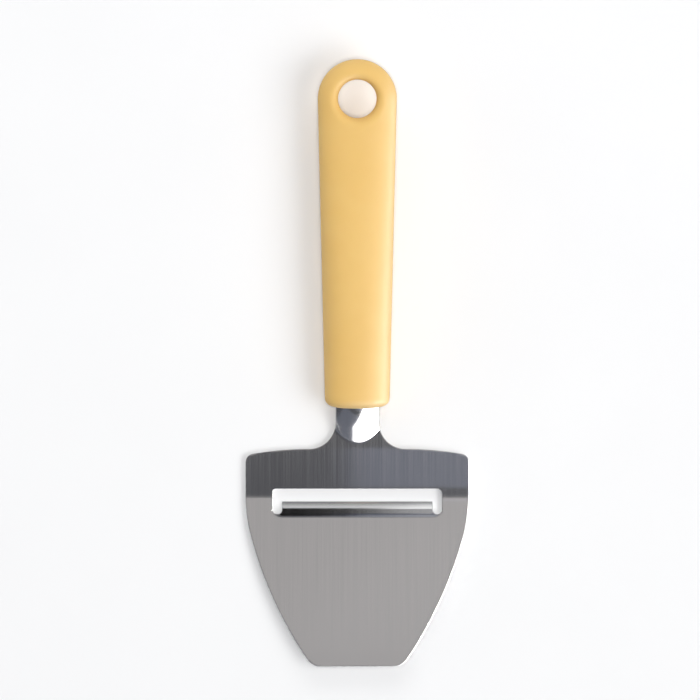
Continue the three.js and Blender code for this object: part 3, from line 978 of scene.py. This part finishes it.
@dataclass
class Grip:
    """Yellow outer moulding of the handle: oval body, hang eye, mouth for the neck and room for the core."""

    form: HandleForm
    blade: Blade
    skin: float = 2.4
    front_wall: float = 3.0
    fit_gap: float = 0.3
    core_end: float = 106.9
    core_end_dome: float = 9.0
    eye_diameter: float = 15.2
    eye_rim: float = 3.7
    mouth_round: float = 0.35
    sides: int = 96
    finish: MouldedPlastic = YELLOW_GRIP

    # The mouth's loop is stretched by this and cut off, so that its ends are upright.
    MOUTH_SPREAD = 1.06
    # Its shape on a front face is the neck's this far behind the face.
    MOUTH_LEAD = 0.5
    # Shares of the way out where the mouth is still as wide as the tang, and already as wide as the neck
    TANG_MOUTH = 0.25
    NECK_MOUTH = 0.62
    # Share of the section where a front face ends and its dome starts
    FACE_SHARE = 0.86
    FACE_ROUNDS = 3
    REAR_TURN = 0.15
    EYE_LEAD = 22.0
    # Loops on each stretch
    FACE_LOOPS = 6
    ROOM_DOME_LOOPS = 8
    ROOM_LOOPS = 30
    DOME_LOOPS = 12
    BODY_LOOPS = 44
    # Steps round the hang end, and out from its eye
    FLANK_STEPS = 12
    END_STEPS = 48
    RIM_STEPS = 12
    SKIN_STEPS = 20

    def __post_init__(self) -> None:
        """Works out the mouth's clearance, the turns of the section's points and the unit section itself."""
        self.clear = self.blade.sheet / 2 + self.fit_gap
        self.turn = np.arange(self.sides) * 2 * math.pi / self.sides
        power = 2.0 / self.form.section_power
        self.wide = np.sign(np.cos(self.turn)) * np.abs(np.cos(self.turn)) ** power
        self.high = np.sign(np.sin(self.turn)) * np.abs(np.sin(self.turn)) ** power

    def placed(self, points: Array) -> Array:
        """Turns points from the handle frame by its tilt, and sets them behind the neck in the part's frame.

        Args:
            points: Rows of x, y and z in the handle frame.

        Returns:
            The points in the part's frame.
        """
        cos, sin = math.cos(self.form.tilt), math.sin(self.form.tilt)
        x, y, z = points.T
        turned = np.column_stack((x, y * cos - z * sin, y * sin + z * cos))
        return turned + self.blade.origin + np.array((0.0, self.blade.mouth_y, self.blade.mouth_z))

    def ovals(self, y: Array, share: Array, inset: float) -> Array:
        """Superellipse loops across the handle: half width and thickness, less the inset, times the share.

        Args:
            y: Places along the handle.
            share: Share of the full section at each place.
            inset: Distance in from the outer form.

        Returns:
            Loops by points by x, y and z.
        """
        x = ((self.form.half_width(y) - inset) * share)[:, None] * self.wide
        z = ((self.form.half_thickness(y) - inset) * share)[:, None] * self.high
        return np.stack((x, np.broadcast_to(y[:, None], x.shape), z), axis=-1)

    def face_depth(self, x: Array, z: Array, inset: float, start: float) -> Array:
        """Place along the handle of the rounded front face over a point of its section.

        The point's superellipse measure is its share of the section. The section itself grows along the
        handle, so the place is found in a few rounds.

        Args:
            x: Places across.
            z: Heights.
            inset: Distance in from the outer form.
            start: Front of the face.

        Returns:
            Places along the handle.
        """
        power = self.form.section_power
        y = np.full_like(x, start)
        for _ in range(self.FACE_ROUNDS):
            across = np.abs(x) / (self.form.half_width(y) - inset)
            up = np.abs(z) / (self.form.half_thickness(y) - inset)
            share = np.minimum((across**power + up**power) ** (1.0 / power), 1.0)
            y = start + self.dome_depth(share)
        return y

    def dome_depth(self, share: Array) -> Array:
        """Depth of a front end where it has a share s of the section: dome (1 - (1 - s ** q) ** (1 / q))."""
        blunt = self.form.front_power
        return self.form.front_dome * (1.0 - (1.0 - share**blunt) ** (1.0 / blunt))

    def throat(self, half: float, clear: float, y: Array) -> tuple[Array, Array]:
        """Loop round the arched neck, with a clearance, at places along the handle.

        The loop runs across as cos turn, stretched and cut off so that it has upright ends, and lies the
        clearance above and below the middle of the sheet.

        Args:
            half: Half width of the loop.
            clear: Distance from the middle of the sheet.
            y: Places along the handle, one for each point of the loop.

        Returns:
            Places across and heights, in the handle frame.
        """
        x = half * np.clip(self.MOUTH_SPREAD * np.cos(self.turn), -1.0, 1.0)
        end = math.sin(math.acos(1.0 / self.MOUTH_SPREAD))
        side = np.clip(np.sin(self.turn) / end, -1.0, 1.0)
        cos, sin = math.cos(self.form.tilt), math.sin(self.form.tilt)
        tool_y = self.blade.mouth_y + y * cos
        top, under = self.blade.heights(x, tool_y)
        middle = (top + under) / 2 - self.blade.mouth_z
        return x, middle * cos - (tool_y - self.blade.mouth_y) * sin + side * clear

    def front_loops(self, half: float, clear: float, inset: float, start: float) -> Array:
        """Loops on a front face, from the neck's opening out to the oval where the dome starts.

        Args:
            half: Half width of the opening.
            clear: Distance of the opening from the middle of the sheet.
            inset: Distance of the face in from the outer form.
            start: Front of the face.

        Returns:
            Loops by points by x, y and z, without the last oval.
        """
        near = np.full(self.sides, start + self.MOUTH_LEAD)
        x0, z0 = self.throat(half, clear, near)
        share = np.array((self.FACE_SHARE,))
        oval = self.ovals(start + self.dome_depth(share), share, inset)[0]
        blend = np.linspace(0.0, 1.0, self.FACE_LOOPS, endpoint=False)[:, None]
        x = x0 + (oval[:, 0] - x0) * blend
        z = z0 + (oval[:, 2] - z0) * blend
        return np.stack((x, self.face_depth(x, z, inset, start), z), axis=-1)

    def dome(self, start: float, steps: int) -> tuple[Array, Array]:
        """Places and shares along a front dome, from the edge of its face to the full section.

        With a turn that goes up to a quarter, the share is sin turn ** (2 / q), and the place is
        start + dome (1 - cos turn ** (2 / q)).

        Args:
            start: Front of the face.
            steps: Number of places.

        Returns:
            Places along the handle, and shares of the section.
        """
        power = 2.0 / self.form.front_power
        first = math.asin(self.FACE_SHARE ** (self.form.front_power / 2))
        turn = np.linspace(first, QUARTER, steps)
        return start + self.form.front_dome * (1.0 - np.cos(turn) ** power), np.sin(turn) ** power

    def room(self) -> Array:
        """Loops of the core's room, from its closed rear end to the tang's opening in the front wall.

        The rear end is a quarter ellipse: the share is sin turn, and the place is end - dome (1 - cos turn).

        Returns:
            Loops by points by x, y and z, in the handle frame.
        """
        rear_turn = np.linspace(self.REAR_TURN, QUARTER, self.ROOM_DOME_LOOPS)
        rear_y = self.core_end + self.fit_gap - self.core_end_dome * (1.0 - np.cos(rear_turn))
        front_y, share = self.dome(self.front_wall, self.ROOM_DOME_LOOPS)
        body_y = np.linspace(rear_y[-1], front_y[-1], self.ROOM_LOOPS)[1:-1]
        tang = self.blade.half_tang + self.fit_gap
        loops = (
            self.ovals(rear_y, np.sin(rear_turn), self.skin),
            self.ovals(body_y, np.ones_like(body_y), self.skin),
            self.ovals(front_y, share, self.skin)[::-1],
            self.front_loops(tang, self.clear, self.skin, self.front_wall)[::-1],
        )
        return np.vstack(loops)

    def outside(self) -> Array:
        """Loops of the outer skin, from the mouth over the front end and back along the body.

        Returns:
            Loops by points by x, y and z, in the handle frame.
        """
        front_y, share = self.dome(0.0, self.DOME_LOOPS)
        body_y = np.linspace(front_y[-1], self.form.eye_y - self.EYE_LEAD, self.BODY_LOOPS)[1:]
        neck = self.blade.half_neck + self.fit_gap
        loops = (
            self.front_loops(neck + self.mouth_round, self.clear + self.mouth_round, 0.0, 0.0),
            self.ovals(front_y, share, 0.0),
            self.ovals(body_y, np.ones_like(body_y), 0.0),
        )
        return np.vstack(loops)

    def mouth_loops(self, inside: Array, outside: Array) -> Array:
        """Loops of the mouth on its way out of the core's room: as wide as the tang, then as the neck.

        Args:
            inside: Last loop of the core's room.
            outside: First loop of the front face.

        Returns:
            Loops by points by x, y and z.
        """
        loops = []
        neck = self.blade.half_neck + self.fit_gap
        tang = self.blade.half_tang + self.fit_gap
        for half, share in ((tang, self.TANG_MOUTH), (neck, self.NECK_MOUTH), (neck, 1.0)):
            y = inside[:, 1] + (outside[:, 1] + self.mouth_round - inside[:, 1]) * share
            x, z = self.throat(half, self.clear, y)
            loops.append(np.column_stack((x, y, z)))
        return np.stack(loops)

    def outer_height(self, x: Array, y: Array) -> Array:
        """Height of the outer form over its middle plane, sunk into the hang eye's rounded rim.

        The oval section gives thickness (1 - (|x| / width) ** p) ** (1 / p), both shrunk by the round
        hang end. The rim takes a quarter circle of its own radius off that height.

        Args:
            x: Places across.
            y: Places along the handle.

        Returns:
            Heights.
        """
        power = self.form.section_power
        share = rounding(self.form.length - y, self.form.rear_width / 2, 2.0)
        width = np.maximum(self.form.half_width(y) * share, TINY)
        level = np.clip(1.0 - (np.abs(x) / width) ** power, 0.0, 1.0) ** (1.0 / power)
        away = np.hypot(x, y - self.form.eye_y) - self.eye_diameter / 2
        drop = self.eye_rim * (1.0 - rounding(away, self.eye_rim, 2.0))
        return self.form.half_thickness(y) * share * level - drop

    def hang_end(self, loop: Array) -> tuple[Array, Array]:
        """Upper skin of the hang end, on rays from the eye's bore to the body's last loop and the outline.

        Args:
            loop: Last loop of the body.

        Returns:
            Rows of x, y and z, and the faces on them.
        """
        eye = self.form.eye_y
        half = self.sides // 2
        y = np.linspace(loop[0, 1], eye, self.FLANK_STEPS)[1:-1]
        right = np.column_stack((self.form.half_width(y), y))
        end = arc((0.0, eye), self.form.rear_width / 2, 0.0, math.pi, self.END_STEPS)
        left = right[::-1] * np.array((-1.0, 1.0))
        outline = np.vstack((loop[half::-1, :2], right, end, left))
        reach = outline - np.array((0.0, eye))
        distance = np.linalg.norm(reach, axis=1)
        turn = np.linspace(0.0, QUARTER, self.RIM_STEPS)
        rim = self.eye_diameter / 2 + self.eye_rim * (1.0 - np.cos(turn))
        # The first step comes twice, and its copy on the middle plane makes the bore's wall.
        rim = np.insert(rim, 0, rim[0])
        share = np.sin(np.linspace(0.0, QUARTER, self.SKIN_STEPS))[1:]
        far = rim[-1] + (distance[:, None] - rim[-1]) * share
        away = np.hstack((np.broadcast_to(rim, (len(outline), len(rim))), far))
        place = (reach / distance[:, None])[:, None, :] * away[..., None] + np.array((0.0, eye))
        z = self.outer_height(place[..., 0], place[..., 1])
        z[: half + 1, -1] = loop[half::-1, 2]
        z[half + 1 :, -1] = 0.0
        z[:, 0] = 0.0
        points = np.concatenate((place, z[..., None]), axis=-1)
        index = np.arange(points.shape[0] * points.shape[1]).reshape(points.shape[:2])
        ringed = np.vstack((index, index[:1]))
        return points.reshape(-1, 3), grid_faces(ringed).reshape(-1, 4)

    def build(self) -> bpy.types.Object:
        """Joins the core's room, the mouth, the outside and both sides of the hang end into one closed skin.

        Returns:
            The grip.
        """
        room, outside = self.room(), self.outside()
        loops = np.vstack((room, self.mouth_loops(room[-1], outside[0]), outside))
        count = len(loops) * self.sides
        index = np.arange(count).reshape(-1, self.sides)
        ringed = np.hstack((index, index[:, :1]))
        sleeve = grid_faces(ringed).reshape(-1, 4)[:, ::-1]
        upper, cells = self.hang_end(loops[-1])
        lower = upper * np.array((1.0, 1.0, -1.0))
        centre = loops[0, 0] * np.array((0.0, 1.0, 0.0))
        points = np.vstack((loops.reshape(-1, 3), upper, lower, centre))
        faces = np.vstack((sleeve, count + cells, count + len(upper) + cells[:, ::-1]))
        points, faces = self.capped(points, faces, index[0])
        piece = add_piece("handle_grip_moulding", self.placed(points), faces)
        self.dress(piece)
        return piece

    def capped(self, points: Array, faces: Array, loop: Array) -> tuple[Array, list[list[int]]]:
        """Welds the skin, and closes the end of the core's room with a fan round the last point.

        Args:
            points: Points, of which the last is the fan's middle.
            faces: Quads.
            loop: Point numbers round the opening.

        Returns:
            Points and faces.
        """
        fan = np.column_stack((loop, np.roll(loop, -1), np.full(len(loop), len(points) - 1), loop))
        points, joined = welded(points, np.vstack((faces, fan)))
        quads = joined[: len(faces)].tolist()
        return points, quads + joined[len(faces) :, :3].tolist()

    def dress(self, piece: bpy.types.Object) -> None:
        """Gives the grip its plastic and its place on the part.

        Args:
            piece: The grip.
        """
        piece.data.materials.append(self.finish.material())
        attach(piece, "root")
        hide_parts(Node.GRIP.value)


@dataclass(frozen=True)
class Core:
    """Two half shells inside the grip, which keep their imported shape."""

    nodes: tuple[Node, ...] = (Node.LOWER_CORE, Node.UPPER_CORE)
    finish: MouldedPlastic = NATURAL_CORE

    def dress(self) -> list[bpy.types.Object]:
        """Gives both halves their plastic.

        Returns:
            The halves.
        """
        material = self.finish.material()
        halves = [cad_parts[node.value] for node in self.nodes]
        for half in halves:
            half.data.materials.clear()
            half.data.materials.append(material)
        return halves


# Studio

TABLE = (0.0, 0.0, 0.0)
TOOL = (0.0, 0.05, 0.0)
KEY_ROLL = math.radians(28.6)
TIP_ROLL = math.radians(45.0)
COOL = "#d6e0ff"
WARM = "#fffaf5"


class Seen(Enum):
    """What a lamp is for: lighting matt surfaces, or being mirrored in smooth ones."""

    MATT = "matt"
    MIRROR = "mirror"


@dataclass(frozen=True)
class SoftBox:
    """Rectangular lamp, in metres: what it is for, its middle, what it faces, its size and brightness."""

    name: str
    seen: Seen
    place: Triple
    target: Triple
    size: tuple[float, float]
    radiance: float
    colour: str = "#ffffff"
    roll: float = 0.0

    def add(self) -> bpy.types.Object:
        """Adds the lamp. An area lamp's radiance is its energy over four times its area.

        Returns:
            The lamp.
        """
        lamp = bpy.data.lights.new(self.name, "AREA")
        lamp.shape = "RECTANGLE"
        lamp.size, lamp.size_y = self.size
        lamp.energy = 4.0 * self.size[0] * self.size[1] * self.radiance
        lamp.color = linear(self.colour)[:3]
        lit = bpy.data.objects.new(self.name, lamp)
        lit.location = self.place
        facing = (Vector(self.target) - Vector(self.place)).to_track_quat("-Z", "Y")
        lit.rotation_mode = "QUATERNION"
        lit.rotation_quaternion = facing @ Quaternion((0.0, 0.0, 1.0), self.roll)
        lit.visible_camera = False
        lit.visible_diffuse = self.seen is Seen.MATT
        lit.visible_glossy = self.seen is Seen.MIRROR
        bpy.context.scene.collection.objects.link(lit)
        return lit


@dataclass(frozen=True)
class Flag:
    """Black velvet board that only mirrors see, in metres: its middle, what it faces and its size."""

    name: str
    place: Triple
    target: Triple
    size: tuple[float, float]
    velvet: str = "#050505"

    def add(self) -> bpy.types.Object:
        """Adds the board.

        Returns:
            The board.
        """
        middle = np.array(self.place)
        ahead = np.array(self.target) - middle
        right = np.cross(ahead, (0.0, 0.0, 1.0))
        up = np.cross(right, ahead)
        sides = np.stack((right / np.linalg.norm(right), up / np.linalg.norm(up)))
        arms = sides * np.array(self.size)[:, None] / 2
        corners = middle + np.array(((-1, -1), (1, -1), (1, 1), (-1, 1))) @ arms
        board = add_piece(self.name, corners / MM, [[0, 1, 2, 3]])
        material, tree, shader = start_material("velvet_black")
        feed(tree, shader, {"Base Color": linear(self.velvet), "Roughness": 1.0, "Specular IOR Level": 0.0})
        board.data.materials.append(material)
        board.visible_camera = False
        board.visible_diffuse = False
        board.visible_shadow = False
        return board


@dataclass(frozen=True)
class Studio:
    """White board under soft light, seen from straight above through a long lens, as in the photograph."""

    image_size: int = 700
    pixel: float = 0.395
    middle_pixel: tuple[float, float] = (357.3, 363.45)
    lens: float = 400.0
    sensor: float = 36.0
    sight: float = 100.0
    focus_height: float = 8.0
    floor_half: float = 6.0
    dusk: str = "#626367"
    board: PaintedBoard = field(default_factory=PaintedBoard)
    lamps: tuple[SoftBox, ...] = (
        # Light on matt surfaces
        SoftBox("sun", Seen.MATT, (2.31, -0.84, 2.63), TABLE, (2.92, 2.2), 2.7),
        SoftBox("top", Seen.MATT, (0.0, 0.0, 1.9), TABLE, (0.3, 0.3), 45.0),
        SoftBox("back", Seen.MATT, (0.0, 1.56, 0.9), TABLE, (2.2, 1.0), 1.5),
        SoftBox("reflector", Seen.MATT, (-1.2, 0.0, 0.3), TABLE, (1.6, 0.5), 0.55),
        # Large cards that the steel and the grip mirror
        SoftBox(
            "key", Seen.MIRROR, (0.73, -1.888, 0.924), (-0.29, -0.121, 0.1), (2.76, 1.3), 4.0, roll=KEY_ROLL
        ),
        SoftBox("side", Seen.MIRROR, (0.973, -0.608, 0.351), TABLE, (1.1, 0.7), 2.2),
        SoftBox("sheen", Seen.MIRROR, (0.85, -0.72, 0.45), TOOL, (0.8, 1.0), 3.5),
        SoftBox("low_sheen", Seen.MIRROR, (1.0, -0.5, 0.03), (0.0, 0.05, 0.03), (1.6, 0.06), 150.0),
        SoftBox("neck_card", Seen.MIRROR, (-0.47, -1.008, 0.45), TABLE, (1.5, 0.9), 0.1, COOL),
        SoftBox("strip", Seen.MIRROR, (0.0, 0.135, 2.0), (0.0, 0.135, 0.0), (3.0, 0.32), 0.39, WARM),
        SoftBox("rear_card", Seen.MIRROR, (0.0, 1.2, 1.0), TABLE, (2.4, 0.5), 0.68),
        # Small cards close to the blade, which change the tone of one part of it each
        SoftBox(
            "window", Seen.MIRROR, (0.032, -0.042, 0.05), (0.032, -0.042, 0.0), (0.07, 0.016), 0.12, COOL
        ),
        SoftBox("fold_card", Seen.MIRROR, (0.08, 0.025, 0.3), (0.08, 0.025, 0.0), (0.13, 0.065), 0.3),
        SoftBox(
            "tip_card", Seen.MIRROR, (0.05, -0.1, 0.2), (0.05, -0.1, 0.0), (0.12, 0.12), 0.045, roll=TIP_ROLL
        ),
        SoftBox("lip_card", Seen.MIRROR, (0.07, 0.022, 0.1), (0.025, -0.058, 0.0), (0.13, 0.09), 0.4),
    )
    flags: tuple[Flag, ...] = (Flag("lip_flag", (-0.05, 0.006, 0.1), (-0.05, -0.058, 0.0), (0.12, 0.07)),)

    def add_camera(self) -> bpy.types.Object:
        """Adds the camera straight above the point that the middle of the image shows, with +Y up the image.

        Returns:
            The camera.
        """
        middle = self.image_size / 2
        x = (middle - self.middle_pixel[0]) * self.pixel
        y = (self.middle_pixel[1] - middle) * self.pixel
        away = self.image_size * self.pixel * self.lens / self.sensor
        data = bpy.data.cameras.new("camera")
        data.lens = self.lens
        data.sensor_width = self.sensor
        data.clip_end = self.sight
        camera = bpy.data.objects.new("camera", data)
        camera.location = (x * MM, y * MM, (self.focus_height + away) * MM)
        bpy.context.scene.collection.objects.link(camera)
        bpy.context.scene.camera = camera
        return camera

    def add_floor(self) -> bpy.types.Object:
        """Adds the board under the part.

        Returns:
            The board.
        """
        half = self.floor_half
        corners = np.array(((-half, -half, 0.0), (half, -half, 0.0), (half, half, 0.0), (-half, half, 0.0)))
        floor = add_piece("floor", corners / MM, [[0, 1, 2, 3]])
        floor.data.materials.append(self.board.material())
        return floor

    def add_light(self) -> None:
        """Adds the lamps, a dim surround and a plain view transform."""
        scene = bpy.context.scene
        world = bpy.data.worlds.new("dim_studio")
        world.use_nodes = True
        feed(world.node_tree, world.node_tree.nodes["Background"], {"Color": linear(self.dusk)})
        scene.world = world
        scene.view_settings.view_transform = "Standard"
        scene.view_settings.look = "None"
        for item in (*self.lamps, *self.flags):
            item.add()


def main() -> None:
    """Builds the studio and the pieces in order."""
    logging.basicConfig(level=logging.INFO, format="%(message)s")
    studio = Studio()
    studio.add_camera()
    studio.add_floor()
    studio.add_light()
    form = HandleForm()
    blade = Blade(form)
    pieces = [blade.build(), Grip(form, blade).build(), *Core().dress()]
    for piece in pieces:
        LOG.info("piece %s: %d faces", piece.name, len(piece.data.polygons))


if __name__ == "__main__":
    main()
